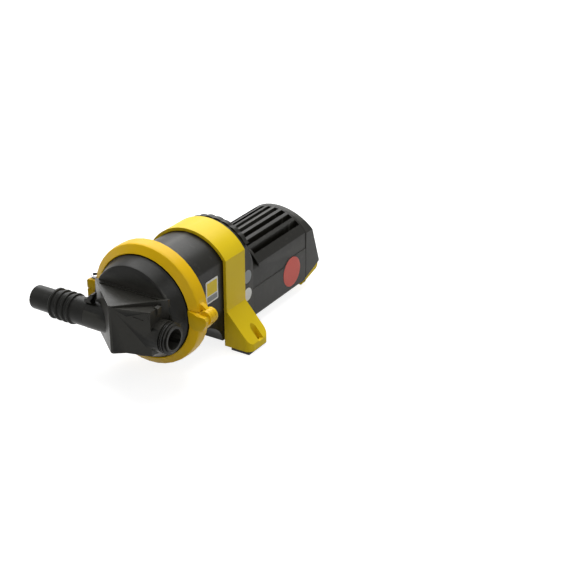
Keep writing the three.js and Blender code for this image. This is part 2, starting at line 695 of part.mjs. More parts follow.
// ---- motor: shaft, worm, can, magnets, armature, commutator, brushes ----
const MOTOR_SHAFT = [51, 186];
place("motor_shaft", STEEL, rod("y", 2.5, MOTOR_SHAFT[0], MOTOR_SHAFT[1], motorAxis, 16));
{
  const turns = (WORM[1] - WORM[0]) / TOOTH_PITCH;
  const perTurn = 10;
  const count = Math.round((turns - 1.4) * perTurn);
  const inner = WORM_R - DEDENDUM - 0.6;
  const crest = WORM_R + ADDENDUM - 0.2;
  const rows = [];
  for (let i = 0; i <= count; i++) {
    const turn = (i / perTurn) * 2 * Math.PI;
    const middle = (WORM[0] + WORM[1]) / 2 + (i / perTurn - count / perTurn / 2) * TOOTH_PITCH;
    const phase = turn - (count / perTurn) * Math.PI + Math.PI / 2;
    for (const [r, dy] of [
      [inner, -1.15],
      [crest, -0.3],
      [crest, 0.3],
      [inner, 1.15],
    ])
      rows.push([r * Math.cos(phase), middle + dy, MOTOR_Z + r * Math.sin(phase)]);
  }
  const thread = new THREE.BufferGeometry();
  const faces = [];
  const quad = (a, b, c, d) => faces.push(a, b, c, a, c, d);
  for (let i = 0; i < count; i++)
    for (let k = 0; k < 4; k++) {
      const [a, b] = [4 * i + k, 4 * i + ((k + 1) % 4)];
      quad(a, b, b + 4, a + 4);
    }
  quad(3, 2, 1, 0);
  quad(4 * count, 4 * count + 1, 4 * count + 2, 4 * count + 3);
  thread.setAttribute("position", new THREE.BufferAttribute(new Float32Array(rows.flat()), 3));
  thread.setIndex(faces);
  const core = rod("y", WORM_R - DEDENDUM, WORM[0] - 2, WORM[1] + 2, motorAxis, 10);
  place("worm", STEEL, cut(fuse([core, solid(thread)]), [rod("y", 2.55, WORM[0] - 3, WORM[1] + 3, motorAxis, 16)]));
}
place(
  "motor_can",
  STEEL,
  cut(rod("y", CAN_R, CAN[0], CAN[1], motorAxis, 28), [
    rod("y", CAN_R - 1.4, CAN[0] + 1.6, CAN[1] + 1, motorAxis, 28),
    rod("y", 3.2, CAN[0] - 1, CAN[0] + 3, motorAxis, 16),
  ]),
);
const MAGNET_SPAN = 62; // half angle, in degrees
for (const [name, middle] of [["magnet_left", 180], ["magnet_right", 0]]) {
  const [from, to] = [middle - MAGNET_SPAN, middle + MAGNET_SPAN];
  const outline = [
    ...arc(0, MOTOR_Z, CAN_R - 1.6, from, to, 10),
    ...arc(0, MOTOR_Z, CAN_R - 5.6, to, from, 10),
  ];
  place(name, MAGNET, slab("y", outline, CAN[0] + 6, CAN[1] - 12));
}
{
  const poles = 8;
  const outline = Array.from({ length: poles }, (_, i) => {
    const mid = (360 / poles) * i;
    return [
      ...arc(0, MOTOR_Z, 8.4, mid - 20, mid - 9, 1),
      ...arc(0, MOTOR_Z, 15.2, mid - 5, mid - 5, 1).slice(0, 1),
      ...arc(0, MOTOR_Z, 17, mid - 18, mid + 18, 2),
      ...arc(0, MOTOR_Z, 15.2, mid + 5, mid + 5, 1).slice(0, 1),
      ...arc(0, MOTOR_Z, 8.4, mid + 9, mid + 20, 1),
    ];
  }).flat();
  place(
    "armature_core",
    STEEL,
    cut(slab("y", outline, CAN[0] + 9, CAN[1] - 15), [rod("y", 2.55, 100, 200, motorAxis, 16)]),
  );
}
const COMMUTATOR = [CAN[1] - 9.4, CAN[1] - 2];
place("commutator", COPPER, tube("y", 2.55, 6.4, COMMUTATOR[0], COMMUTATOR[1], motorAxis, 16));
for (const [name, s] of [["brush_left", -1], ["brush_right", 1]]) {
  const [a, b] = [s * 6.7, s * 15].sort((p, q) => p - q);
  place(name, MAGNET, box([a, b], [COMMUTATOR[0] + 1.2, COMMUTATOR[1] - 1.2], [MOTOR_Z - 2.2, MOTOR_Z + 2.2]));
}
{
  const plate = rod("y", CAN_R - 1.6, CAN[1] - 1.6, CAN[1] + 1.2, motorAxis, 28);
  const hub = rod("y", 8, CAN[1], CAN[1] + 6, motorAxis);
  const guides = [-1, 1].map((s) => {
    const [a, b] = [s * 8.6, s * 16.5].sort((p, q) => p - q);
    return box([a, b], [COMMUTATOR[0], CAN[1] - 0.5], [MOTOR_Z - 4, MOTOR_Z + 4]);
  });
  const slots = [-1, 1].map((s) => {
    const [a, b] = [s * 8, s * 15.2].sort((p, q) => p - q);
    return box([a, b], [COMMUTATOR[0] + 1, COMMUTATOR[1] - 1], [MOTOR_Z - 2.4, MOTOR_Z + 2.4]);
  });
  place(
    "brush_plate",
    NYLON,
    cut(fuse([plate, hub, ...guides]), [...slots, rod("y", 3.2, 170, 200, motorAxis, 16), rod("y", 5 + FIT, CAN[1] + 1, 190, motorAxis)]),
  );
}
place("rear_bearing", BRASS, tube("y", 2.55, 5, CAN[1] + 1.1, CAN[1] + 5.6, motorAxis));

// ---- motor covers ----
const PART_LOW = 36.5; // the parting line steps up towards the rear
const PART_HIGH = 41.4;
const partingLine = (shift) => [
  [0, PART_LOW + shift],
  [159, PART_LOW + shift],
  [168, PART_HIGH + shift],
  [300, PART_HIGH + shift],
];
const above = (shift) => slab("x", [...partingLine(shift), [300, 130], [0, 130]], -60, 60);
const below = (shift) => slab("x", [...partingLine(shift), [300, -10], [0, -10]], -60, 60);
const finX = (i) => (i - (FIN_COUNT - 1) / 2) * FIN_PITCH;
{
  const half = COVER_HALF - 0.5;
  const neck = slab("y", arch(COVER_R - 1.6, MOTOR_Z, half, 20), COVER[0], FIN_FRONT_Y + 1);
  const shell = slab("y", arch(COVER_R, MOTOR_Z, half, 20), FIN_FRONT_Y, COVER[1]);
  const room = slab("y", arch(COVER_INNER_R, MOTOR_Z, COVER_INNER_R - 0.4, 10), COVER[0] - 1, COVER[1] + 1);
  const slots = [];
  for (let i = 0; i < FIN_COUNT - 1; i++) {
    const [left, right] = [finX(i) + FIN_T / 2, finX(i + 1) - FIN_T / 2];
    const middle = (left + right) / 2;
    const depth = (r) => MOTOR_Z + Math.sqrt(r * r - Math.max(Math.abs(left), Math.abs(right)) ** 2 * 0.86);
    const slot = (r, from, to) => {
      const floor = depth(r);
      slots.push(slab("y", [[left, 90], [right, 90], [middle + 2, floor], [middle - 2, floor]], from, to));
    };
    slot(SLOT_FLOOR_R, FIN_SLOTS[0], 183.5);
    slot(SLOT_FLOOR_R + 3.6, 183, 186.5);
    slot(SLOT_FLOOR_R, 186, FIN_SLOTS[1]);
  }
  place("motor_cover_upper", CASE_BLACK, cut(fuse([neck, shell]), [room, ...slots]).intersect(above(0.15)));
}
const COVER_WALL = 2.6;
{
  const shell = slab("y", arch(COVER_R, MOTOR_Z, COVER_HALF, BASE_Z, 3), COVER[0], COVER[1]);
  const room = slab("y", arch(COVER_R - 4, MOTOR_Z, COVER_HALF - COVER_WALL, BASE_Z + COVER_WALL, 2), COVER[0] - 1, COVER[1] + 1);
  place("motor_cover_lower", GREY, cut(shell, [room]).intersect(below(-0.15)));
}
// The cap's rear face leans forward and its floor rises to meet it.
const capSide = (inset) => {
  const [lowY, lowZ] = CAP_BACK_LOW;
  const front = inset ? CAP_Y - 1 : CAP_Y;
  const top = 80;
  return [
    [front, CAP_BOTTOM_Z + inset],
    [lowY - inset * 1.4, lowZ + inset],
    [lowY - inset * 1.4 - (top - lowZ) * CAP_LEAN, top],
    [front, top],
  ];
};
const GLAND = { x: -14, z: 34 };
const SOCKET = { x: 13, z: 33 };
const capBackY = (z) => CAP_BACK_LOW[0] - (z - CAP_BACK_LOW[1]) * CAP_LEAN;
{
  const outer = slab("y", arch(COVER_R, MOTOR_Z, COVER_HALF, 4), CAP_Y, 230).intersect(slab("x", capSide(0), -60, 60));
  const inner = slab("y", arch(COVER_R - CAP_WALL, MOTOR_Z, COVER_HALF - CAP_WALL, 4), CAP_Y - 1, 230).intersect(
    slab("x", capSide(CAP_WALL), -60, 60),
  );
  const ports = [
    rod("y", 6.3, 205, 230, [GLAND.x, 0, GLAND.z]),
    rod("y", 5.3, 205, 230, [SOCKET.x, 0, SOCKET.z]),
    ...[-1, 1].map((s) => rod("y", 1.8, 195, 230, [s * 26, 0, 52], SMALL)),
  ];
  const posts = [-1, 1].map((s) => rod("y", 4, CAP_Y, capBackY(52) - 0.6, [s * 26, 0, 52], SMALL));
  place("rear_end_cap", GREY, cut(fuse([cut(outer, [inner]), ...posts.map((p) => p.intersect(outer))]), ports));
}
for (const [name, s] of [["cap_screw_left", -1], ["cap_screw_right", 1]]) {
  const seat = capBackY(52) + 1.4;
  place(
    name,
    STEEL,
    cut(
      round("y", [[0, 199], [1.55, 199], [1.55, seat], [3.3, seat], [3.3, seat + 1.3], [2.2, seat + 2.1], [0, seat + 2.1]], [s * 26, 0, 52], SMALL),
      [
        box([s * 26 - 2, s * 26 + 2], [seat + 1.1, seat + 3], [51.6, 52.4]),
        box([s * 26 - 0.4, s * 26 + 0.4], [seat + 1.1, seat + 3], [50, 54]),
      ],
    ),
  );
}
{
  const back = capBackY(GLAND.z - 8) + 0.3;
  const at = [GLAND.x, 0, GLAND.z];
  const hex = slab("y", arc(GLAND.x, GLAND.z, 9, 0, 300, 5), back, back + 4);
  const body = round("y", [[0, 206], [6, 206], [6, back + 1], [7.4, back + 1], [7.4, back + 8], [6, back + 10.5], [0, back + 10.5]], at);
  place("cable_gland", BLACK, cut(fuse([hex, body]), [rod("y", 3, 200, back + 12, at)]));
}
{
  const back = capBackY(SOCKET.z - 8) + 0.3;
  const at = [SOCKET.x, 0, SOCKET.z];
  const body = round("y", [[0, 206], [5, 206], [5, back], [7.6, back], [7.6, back + 6], [0, back + 6]], at);
  const well = tube("y", 2.6, 5.6, back + 1.6, back + 7, at);
  place("sensor_socket", BLACK, cut(body, [well, box([SOCKET.x - 0.8, SOCKET.x + 0.8], [back + 1.6, back + 7], [SOCKET.z + 5, SOCKET.z + 6.6])]));
}
place(
  "circuit_board",
  BOARD,
  fuse([
    box([-19, 19], [190, 191.6], [20, 54]),
    ...[[-15, 43], [15, 43], [0, 22]].map(([x, z]) => rod("y", 2, CAN[1] + 1.5, 190.5, [x, 0, z], SMALL)),
    rod("y", 4, 191.6, 201, [12, 0, 47], SMALL),
    box([-15, -4], [191.6, 196], [42, 52]),
    box([-8, 2], [191.6, 194], [24, 31]),
  ]),
);
place(
  "base_trim",
  YELLOW,
  slab(
    "x",
    [
      [190, BASE_Z - 0.15],
      [190, 6],
      [196, 6.9],
      [216.8, 12.4],
      [219.4, 14.6],
      [219.8, 18.6],
      [CAP_Y, CAP_BOTTOM_Z - 0.35],
      [CAP_Y, BASE_Z - 0.15],
    ],
    -COVER_HALF + 0.5,
    COVER_HALF - 0.5,
  ),
);

// ---- saddle strap with two feet, and the pads under them ----
{
  const inner = BODY_HALF + SEAT_GAP;
  const outer = inner + SADDLE_T;
  const innerR = BODY_R + SEAT_GAP;
  const outerR = innerR + SADDLE_T;
  const foot = PAD_H + 0.1;
  const outside = (s) => [
    [s * outer, FOOT_CREASE_Z],
    [s * (FOOT_TIP_X - 0.5), FOOT_TIP_Z + 0.6],
    [s * FOOT_TIP_X, FOOT_TIP_Z - 0.5],
    [s * FOOT_TIP_X, foot],
  ];
  const crown = THREE.MathUtils.radToDeg(Math.acos(outer / outerR));
  const rise = THREE.MathUtils.radToDeg(Math.acos(inner / innerR));
  const outline = [
    ...outside(1).reverse(),
    ...arc(0, PUMP_Z, outerR, crown, 180 - crown, 28),
    ...outside(-1),
    [-inner, foot],
    ...arc(0, PUMP_Z, innerR, 180 - rise, rise, 28),
    [inner, foot],
  ];
  const corners = (s) => {
    const r = 6;
    const x = FOOT_TIP_X - r;
    return [
      ...arc(s * x, SADDLE[1] - r, r, s > 0 ? 0 : 180, 90, 8),
      ...arc(s * x, SADDLE[0] + r, r, 270, s > 0 ? 360 : 180, 8),
    ];
  };
  const right = corners(1);
  const left = corners(-1);
  const plan = [...right.slice(0, 9), ...left.slice(0, 9).reverse(), ...left.slice(9).reverse(), ...right.slice(9)];
  const band = slab("y", outline, SADDLE[0], SADDLE[1]).intersect(slab("z", plan, -1, 120));
  // Each foot has a keyhole pocket cut straight down to a flat floor, with a screw slot through it.
  const pockets = [-1, 1].flatMap((s) => {
    const { x, y, half, r } = SCREW_SLOT;
    const slot = [...arc(x + half / 2, y, r, 270, 450, 8), ...arc(x - half / 2, y, r, 90, 270, 8)];
    const mirror = (points) => (s > 0 ? points : points.map(([a, b]) => [-a, b]).reverse());
    const keyhole = [...arc(FOOT_TIP_X + 1, y, 3.4, 270, 450, 8), ...arc(x - 1.2, y, 3.4, 90, 270, 10)];
    return [slab("z", mirror(keyhole), FOOT_TIP_Z - 0.4, 40), slab("z", mirror(slot), -1, 20)];
  });
  place("mounting_saddle", YELLOW, cut(band, pockets));
  for (const [name, s] of [["foot_pad_left", -1], ["foot_pad_right", 1]]) {
    const [a, b] = [s * (inner + 6.5), s * (FOOT_TIP_X - 2)].sort((p, q) => p - q);
    const shape = box([a, b], [SADDLE[0] + 0.2, SADDLE[1] - 1], [0, PAD_H]);
    const { x, y, half, r } = SCREW_SLOT;
    const hole = box([s * x - half - 1.5, s * x + half + 1.5], [y - r, y + r], [-1, PAD_H + 1]);
    place(name, RUBBER, cut(shape, [hole]));
  }
}

// ---- clamp ring: two channel-section halves, hinged on the right and screwed together on the left ----
{
  const channel = round(
    "y",
    [
      [HEAD_RIM_R + 0.6, 0.5],
      [HEAD_RIM_R + 1.2, 0],
      [RING_NOSE_R - 0.5, RING_NOSE_Y - 0.6],
      [RING_NOSE_R, RING_NOSE_Y],
      [RING_OUTER_R, RING_NOSE_Y + 2.5],
      [RING_OUTER_R, RING_BACK_Y - 1],
      [RING_OUTER_R - 1, RING_BACK_Y],
      [BODY_R + 2.6, RING_BACK_Y],
      [BODY_R + 2.6, BODY_FLANGE_BACK + SEAT_GAP],
      [CHANNEL_R, BODY_FLANGE_BACK + SEAT_GAP],
      [CHANNEL_R, HEAD_FLANGE[0] - SEAT_GAP],
      [HEAD_RIM_R + 0.6, HEAD_FLANGE[0] - SEAT_GAP],
      [HEAD_RIM_R + 0.6, 0.5],
    ],
    axisP,
    SMOOTH,
  );
  const joint = (shift) => [
    [-90, SPLIT_Z + shift],
    [0, SPLIT_Z + shift],
    [30, 71.1 + shift],
    [41.3, 67.7 + shift],
    [53.6, 63.9 + shift],
    [80, 63.9 + shift],
  ];
  const over = slab("y", [...joint(SPLIT_GAP / 2), [80, 130], [-90, 130]], -10, 30);
  const under = slab("y", [...joint(-SPLIT_GAP / 2), [80, -10], [-90, -10]], -10, 30);
  const hinge = [HINGE_X, 0, HINGE_Z];
  const [k0, k1, k2, k3] = KNUCKLE_SPLIT;
  const bore = rod("y", HINGE_PIN_R + RUN_GAP, k0, 20, hinge, SMALL);
  const knuckle = (a, b) => rod("y", KNUCKLE_R, a, b, hinge, 32);
  const clear = (a, b) => rod("y", KNUCKLE_R + 0.35, a, b, hinge, 32);

  const upperArm = slab("y", [[50, 65.4], [HINGE_X, HINGE_Z + KNUCKLE_R - 0.2], [54.4, 69.6], [50, 71.6], [49.6, 68]], k1 + SEAT_GAP, k2 - SEAT_GAP);
  const upperLug = slab(
    "y",
    [
      [-50, 58],
      [LUG_END_X + 0.8, 58],
      [LUG_END_X, 59],
      [LUG_END_X, LUG_TOP - 1.5],
      [LUG_END_X + 1.3, LUG_TOP],
      [-51.4, LUG_TOP],
      [-49.9, 70.5],
    ].reverse(),
    LUG_Y - 5.6,
    LUG_Y + 5.6,
  );
  const screwHole = rod("z", 2.75, 40, 80, [LUG_X, LUG_Y, 0], SMALL);
  const headSeat = rod("z", 4.8, LUG_TOP, LUG_TOP + 6, [LUG_X, LUG_Y, 0], 24);
  const clearOfUpper = [clear(-1, k1 + SEAT_GAP), clear(k2 - SEAT_GAP, 20), bore, screwHole, headSeat];
  const inside = rod("y", CHANNEL_R, HEAD_FLANGE[0] - SEAT_GAP, BODY_FLANGE_BACK + SEAT_GAP, axisP, SMOOTH);
  const mouth = rod("y", HEAD_RIM_R + 0.6, -10, 30, axisP, SMOOTH);
  const tidy = [inside, mouth];
  place(
    "clamp_ring_upper",
    YELLOW,
    cut(
      fuse([fuse([channel, upperArm, upperLug]).intersect(over), knuckle(k1 + SEAT_GAP, k2 - SEAT_GAP)]),
      [...clearOfUpper, ...tidy],
    ),
  );

  const shield = slab(
    "y",
    [
      [44.6, 66.6],
      [53.6, 63.8],
      [60.5, 63.6],
      [62.4, 61],
      [61.6, 56.4],
      [58, 52.4],
      [53, 50.4],
      [49, 51],
      [46, 54],
      [44.9, 58],
    ].reverse(),
    -0.7,
    k0,
  );
  const lowerArm = slab("y", [[50, 61.4], [57, 61.4], [62.6, 57.4], [55, 48.6], [50.6, 48]].reverse(), k0, k3);
  const lowerLug = slab(
    "y",
    [
      [-50, LUG_BOTTOM - 3],
      [-50, 58],
      [LUG_END_X + 0.8, 58],
      [LUG_END_X, 57],
      [LUG_END_X, LUG_BOTTOM + 1.5],
      [LUG_END_X + 1.3, LUG_BOTTOM],
    ],
    LUG_Y - 5.6,
    LUG_Y + 5.6,
  );
  const swing = 1.2; // the screw swings out of the lower lug, so its hole is a slot
  const slot = fuse([
    screwHole.translate([-swing, 0, 0]),
    screwHole,
    box([LUG_X - swing, LUG_X], [LUG_Y - 2.75, LUG_Y + 2.75], [40, 80]),
  ]);
  const nutSeat = box([LUG_X - 4.1, LUG_X + 4.1], [LUG_Y - 4.1, LUG_Y + 4.1], [40, LUG_BOTTOM + 3.4]);
  place(
    "clamp_ring_lower",
    YELLOW,
    cut(
      fuse([fuse([channel, shield, lowerLug, lowerArm]).intersect(under), knuckle(k0, k1), knuckle(k2, k3)]),
      [clear(k1, k2), bore, slot, nutSeat, ...tidy],
    ),
  );
  place(
    "clamp_nut",
    STEEL,
    box([LUG_X - 4, LUG_X + 4], [LUG_Y - 4, LUG_Y + 4], [LUG_BOTTOM, LUG_BOTTOM + 3.3]).subtract(slot),
  );
  place(
    "clamp_hinge_pin",
    STEEL,
    rod("y", HINGE_PIN_R, k0 + 0.2, k3 + 0.6, hinge, SMALL),
  );
  const head = LUG_TOP;
  place(
    "clamp_screw",
    STEEL,
    cut(
      round(
        "z",
        [[0, LUG_BOTTOM + 0.5], [2.5, LUG_BOTTOM + 0.5], [2.5, head], [4.5, head], [4.5, head + 2.2], [3.4, head + 3.2], [0, head + 3.2]],
        [LUG_X, LUG_Y, 0],
        24,
      ),
      [
        box([LUG_X - 3, LUG_X + 3], [LUG_Y - 0.55, LUG_Y + 0.55], [head + 1.6, head + 4]),
        box([LUG_X - 0.55, LUG_X + 0.55], [LUG_Y - 3, LUG_Y + 3], [head + 1.6, head + 4]),
      ],
    ),
  );
}

// The frame's origin is the middle of the underside of the whole part's box.
const bounds = new THREE.Box3().setFromObject(group);
const middle = bounds.getCenter(new THREE.Vector3());
group.children.forEach((mesh) => mesh.geometry.translate(-middle.x, -middle.y, -bounds.min.z));

export default group;
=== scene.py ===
"""Looks of a motor-driven diaphragm bilge pump.

The CAD nodes get rounded edges and procedural materials. Bare plates and one thin rim are added to them.
"""

import json
import math

import bpy
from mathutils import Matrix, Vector


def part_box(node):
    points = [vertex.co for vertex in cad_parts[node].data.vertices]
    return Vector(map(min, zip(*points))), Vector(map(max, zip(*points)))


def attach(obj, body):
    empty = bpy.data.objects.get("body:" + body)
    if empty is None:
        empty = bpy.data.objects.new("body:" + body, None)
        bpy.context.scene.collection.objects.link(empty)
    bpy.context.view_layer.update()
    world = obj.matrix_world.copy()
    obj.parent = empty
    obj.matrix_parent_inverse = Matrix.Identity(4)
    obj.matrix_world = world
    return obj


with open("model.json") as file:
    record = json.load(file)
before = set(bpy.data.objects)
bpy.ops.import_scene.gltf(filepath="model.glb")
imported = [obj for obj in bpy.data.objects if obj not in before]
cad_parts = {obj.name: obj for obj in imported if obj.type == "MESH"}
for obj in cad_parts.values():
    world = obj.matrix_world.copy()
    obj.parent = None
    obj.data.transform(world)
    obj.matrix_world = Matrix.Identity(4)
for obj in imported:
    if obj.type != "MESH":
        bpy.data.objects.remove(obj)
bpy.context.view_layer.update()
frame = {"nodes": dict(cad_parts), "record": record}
NODES = frame["nodes"]
MM = 0.001

# The working origin: x on the pump's axis, y at the front of the clamp ring, z at the floor.
housing_low, housing_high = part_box("body_housing")
ring_low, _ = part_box("clamp_ring_upper")
_, cover_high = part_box("motor_cover_lower")
_, case_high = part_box("gear_cover")
ORIGIN = Vector(((housing_low.x + housing_high.x) / 2, ring_low.y, 0))


def at(x, y, z):
    """A point given in millimetres from the working origin, in the frame's metres."""
    return ORIGIN + Vector((x, y, z)) * MM


# ---- camera ----
AZIMUTH, ELEVATION = math.radians(31.814), math.radians(26.465)
BACK = Vector(
    (
        math.sin(AZIMUTH) * math.cos(ELEVATION),
        -math.cos(AZIMUTH) * math.cos(ELEVATION),
        math.sin(ELEVATION),
    )
)
camera = bpy.data.objects.new("camera", bpy.data.cameras.new("camera"))
bpy.context.scene.collection.objects.link(camera)
camera.location = at(602.88, -747.55, 547.12)
camera.rotation_mode = "QUATERNION"
camera.rotation_quaternion = (-BACK).to_track_quat("-Z", "Y")
camera.data.sensor_width = 36
camera.data.lens = 82.5
camera.data.clip_start, camera.data.clip_end = 0.05, 20
bpy.context.scene.camera = camera
bpy.context.scene.view_settings.view_transform = "Standard"


# ---- materials ----
class Shader:
    """A material's node tree, with short calls to add nodes and join them."""

    def __init__(self, name):
        self.material = bpy.data.materials.new(name)
        self.material.use_nodes = True
        self.tree = self.material.node_tree
        self.surface = self.tree.nodes["Principled BSDF"]
        self.coordinates = self.node("ShaderNodeTexCoord").outputs["Object"]

    def node(self, kind, inputs=None, **settings):
        made = self.tree.nodes.new(kind)
        for key, value in settings.items():
            setattr(made, key, value)
        for key, value in (inputs or {}).items():
            self.feed(made.inputs[key], value)
        return made

    def feed(self, socket, value):
        if isinstance(value, bpy.types.NodeSocket):
            self.tree.links.new(value, socket)
        else:
            socket.default_value = value

    def noise(self, scale, detail=3.0, stretch=None):
        place = self.coordinates
        if stretch:
            place = self.node("ShaderNodeMapping", {"Vector": place, "Scale": stretch}).outputs["Vector"]
        made = self.node("ShaderNodeTexNoise", {"Vector": place, "Scale": scale, "Detail": detail})
        return made.outputs["Fac"]

    def ramp(self, value, low, high, start=0.3, end=0.7):
        span = {"Value": value, "From Min": start, "From Max": end, "To Min": low, "To Max": high}
        return self.node("ShaderNodeMapRange", span).outputs["Result"]

    def mix(self, share, a, b):
        made = self.node("ShaderNodeMix", {"Factor": share}, data_type="RGBA")
        self.feed(made.inputs[6], a)
        self.feed(made.inputs[7], b)
        return made.outputs[2]

    def bump(self, height, strength, distance, under=None):
        made = self.node("ShaderNodeBump", {"Height": height, "Strength": strength, "Distance": distance})
        if under is not None:
            self.feed(made.inputs["Normal"], under)
        return made.outputs["Normal"]

    def worn_and_highlit(self, base, colour, share):
        """Edges painted paler than the faces: partly rubbed wear, partly a painted highlight."""
        edge = self.ramp(self.node("ShaderNodeNewGeometry").outputs["Pointiness"], 0, share, 0.53, 0.6)
        return self.mix(edge, base, colour)

    def set(self, **sockets):
        for key, value in sockets.items():
            self.feed(self.surface.inputs[key.replace("_", " ")], value)


def shade(colour, factor):
    return tuple(min(1, c * factor) for c in colour[:3]) + (1,)


def moulded(name, colour, rough, grain, depth, cloud=0.12, dust=0.0, rubbed_and_highlit=None, specular=0.5):
    """Moulded plastic with a fine grain and slow drifts of tone and sheen.

    It may also carry a trace of dust, and edges painted paler, partly as rubbed wear and partly as a
    painted highlight.
    """
    s = Shader(name)
    tone = s.ramp(s.noise(22, 4), 0, 1)
    base = s.mix(tone, shade(colour, 1 - cloud), shade(colour, 1 + cloud))
    if dust:
        base = s.mix(s.ramp(s.noise(160, 6), 0, dust, 0.55, 0.8), base, (0.5, 0.49, 0.46, 1))
    # Paler convex edges: partly rubbed wear, partly a painted highlight along the edges.
    if rubbed_and_highlit:
        base = s.worn_and_highlit(base, (*rubbed_and_highlit, 1), 0.5)
    slow = s.noise(35, 3)
    s.set(
        Base_Color=base,
        Roughness=s.ramp(slow, rough - 0.04, rough + 0.05),
        Normal=s.bump(slow, 0.05, 0.0005, s.bump(s.noise(grain, 2), depth, 0.00012)),
        Specular_IOR_Level=specular,
    )
    return s.material


def metal(name, colour, rough, stretch=(1, 1, 1), scale=900):
    """Machined metal: fine tool marks along one direction, and uneven sheen."""
    s = Shader(name)
    marks = s.noise(scale, 3, stretch)
    s.set(
        Base_Color=s.mix(s.ramp(s.noise(60), 0, 1), shade(colour, 0.88), shade(colour, 1.05)),
        Roughness=s.ramp(marks, rough - 0.07, rough + 0.1),
        Normal=s.bump(marks, 0.18, 0.00008),
        Metallic=1.0,
    )
    return s.material


# Colours of the paler edges: partly rubbed wear, partly a painted highlight.
BLACK_EDGE = (0.06, 0.058, 0.05)
GREY_EDGE = (0.09, 0.088, 0.078)
YELLOW_EDGE = (0.82, 0.58, 0.05)
DULL, DULL_YELLOW = 0.16, 0.12  # specular level of the dark and of the yellow plastics
BLACK = moulded(
    "head_black", (0.0075, 0.0075, 0.006), 0.34, 2600, 0.14, dust=0.02, rubbed_and_highlit=BLACK_EDGE, specular=DULL
)
CASE = moulded(
    "case_black", (0.0085, 0.008, 0.0055), 0.38, 1900, 0.24, dust=0.03, rubbed_and_highlit=BLACK_EDGE, specular=DULL
)
GREY = moulded(
    "cover_grey", (0.02, 0.0195, 0.016), 0.4, 1900, 0.26, dust=0.03, rubbed_and_highlit=GREY_EDGE, specular=DULL
)
BRIGHT = {"cloud": 0.03, "rubbed_and_highlit": YELLOW_EDGE, "specular": DULL_YELLOW}
YELLOW = moulded("moulded_yellow", (0.78, 0.57, 0.01), 0.38, 2400, 0.1, **BRIGHT)
ORANGE = moulded("ring_yellow", (0.83, 0.51, 0.004), 0.36, 2400, 0.1, **BRIGHT)
RUBBER = moulded("black_rubber", (0.012, 0.012, 0.012), 0.7, 1500, 0.4)
NYLON = moulded("white_nylon", (0.72, 0.71, 0.66), 0.45, 1800, 0.15, cloud=0.03)
BOARD = moulded("board_green", (0.02, 0.12, 0.05), 0.4, 900, 0.1)
MAGNET = moulded("magnet_grey", (0.06, 0.06, 0.065), 0.5, 1400, 0.3)
STEEL = metal("turned_steel", (0.62, 0.62, 0.63), 0.25)
BRONZE = metal("sintered_bronze", (0.55, 0.38, 0.2), 0.42)
COPPER = metal("copper", (0.72, 0.36, 0.2), 0.3, (1, 0.05, 1))
BY_SLOT = {
    "black_plastic": BLACK,
    "case_plastic": CASE,
    "grey_plastic": GREY,
    "yellow_plastic": YELLOW,
    "black_rubber": RUBBER,
    "white_nylon": NYLON,
    "steel": STEEL,
    "bronze": BRONZE,
    "copper": COPPER,
    "magnet": MAGNET,
    "board": BOARD,
}

# The clamp ring is moulded in a slightly deeper yellow than the saddle.
BY_NODE = {"clamp_ring_upper": ORANGE, "clamp_ring_lower": ORANGE}

# ---- the CAD nodes: rounded edges, smooth turned faces, and their materials ----
DEFAULT_EDGE = 0.25
EDGE = {  # width of the rounded edges, in millimetres
    "pump_head": 0.45,
    "clamp_ring_upper": 1.3,
    "clamp_ring_lower": 1.3,
    "mounting_saddle": 0.9,
    "motor_cover_upper": 0.45,
    "motor_cover_lower": 0.7,
    "rear_end_cap": 0.9,
    "body_housing": 0.6,
    "gear_cover": 0.6,
    "hose_tail": 0.3,
    "hose_tail_catch": 0.5,
    "base_trim": 0.8,
}


EDGE_ANGLE, EDGE_SEGMENTS = 32, 3  # edges sharper than this angle are rounded, in this many steps
WELD_REACH = 2e-6  # metres
FLAT_ANGLE = 0.6  # degrees within which neighbouring faces are joined into one


def soften(piece, width):
    """Smooth shading, with a small rounded edge wherever two faces meet sharply."""
    piece.data.polygons.foreach_set("use_smooth", [True] * len(piece.data.polygons))
    weld = piece.modifiers.new("weld", "WELD")
    weld.merge_threshold = WELD_REACH
    flat = piece.modifiers.new("flat", "DECIMATE")
    flat.decimate_type = "DISSOLVE"
    flat.angle_limit = math.radians(FLAT_ANGLE)
    bevel = piece.modifiers.new("round", "BEVEL")
    bevel.width = width * MM
    bevel.segments = EDGE_SEGMENTS
    bevel.limit_method = "ANGLE"
    bevel.angle_limit = math.radians(EDGE_ANGLE)
    bevel.use_clamp_overlap = True
    bevel.miter_outer = "MITER_ARC"
    even = piece.modifiers.new("even", "WEIGHTED_NORMAL")
    even.mode = "FACE_AREA_WITH_ANGLE"
    even.weight = 50
    even.keep_sharp = False


for row in frame["record"]["subparts"]:
    node = NODES[row["node"]]
    node.data.materials.clear()
    node.data.materials.append(BY_NODE.get(row["node"], BY_SLOT[row["material_slot"]]))
    soften(node, EDGE.get(row["node"], DEFAULT_EDGE))


def add_piece(name, points, faces, material):
    """A mesh that rides the fixed body."""
    mesh = bpy.data.meshes.new(name)
    mesh.from_pydata(points, [], faces)
    mesh.validate()
    mesh.materials.append(material)
    made = bpy.data.objects.new(name, mesh)
    bpy.context.scene.collection.objects.link(made)
    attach(made, "base")
    return made


# ---- bare plates on the right side ----
PLATE_ROUGHNESS = 0.32
PLATE_LIFT = 0.12  # height of the rounded rim of a plate, in millimetres
PLATE_TOP = 0.97  # share of its outline that the top of a plate keeps
PLATE_SUNK = 0.05  # how far a plate reaches into the case, in millimetres


def plate_material(name, colour):
    return moulded(name, colour, PLATE_ROUGHNESS, 700, 0.05, cloud=0.03, specular=0.1)


